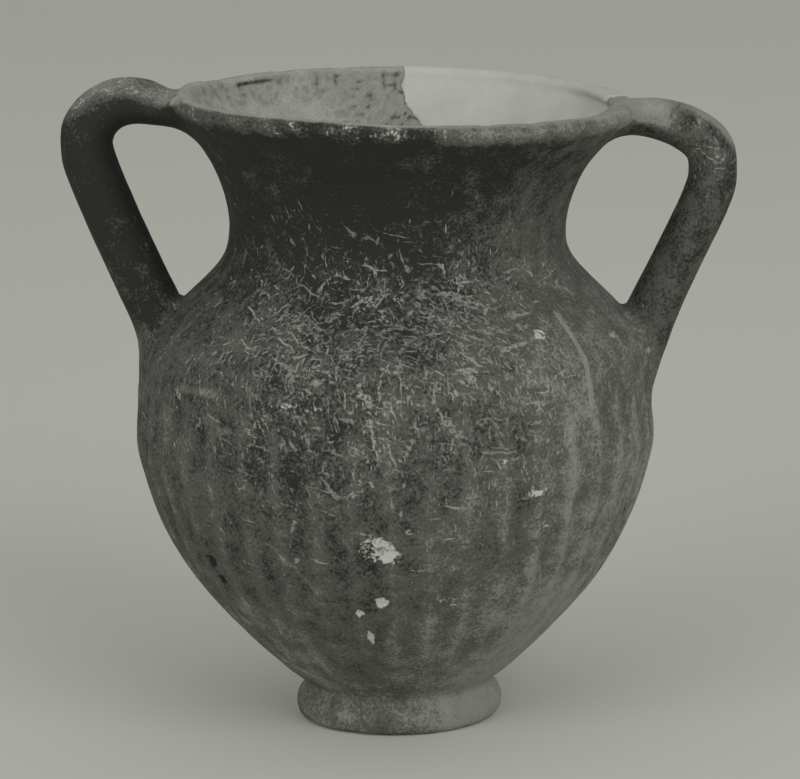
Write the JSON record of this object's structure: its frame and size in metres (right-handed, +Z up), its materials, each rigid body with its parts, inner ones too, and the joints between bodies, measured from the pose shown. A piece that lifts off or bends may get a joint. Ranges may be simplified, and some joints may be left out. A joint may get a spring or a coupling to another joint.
{
  "type": "two-handled jar",
  "caption": "Old dark pottery jar with a ring foot, fluted round body, flaring neck, uneven lip with a plaster repair, and two high loop handles from lip to shoulder.",
  "frame": {"origin": "on the table under the middle of the jar's outer box, which is about 4 mm to the right of the middle of the foot", "axes": "+Z up, +X from the left handle to the right handle as the picture shows them, +Y to the back, where the plaster repair is"},
  "size_m": [0.2068, 0.16, 0.2011],
  "materials": {
    "dark_slipped_pottery": "dull grey-black slip over fired clay, worn and marked with pale root traces and lime",
    "repair_plaster": "smooth matt gypsum plaster, off-white"
  },
  "bodies": {
    "root": {"vessel": "dark_slipped_pottery", "plaster_fill": "repair_plaster"}
  },
  "joints": []
}
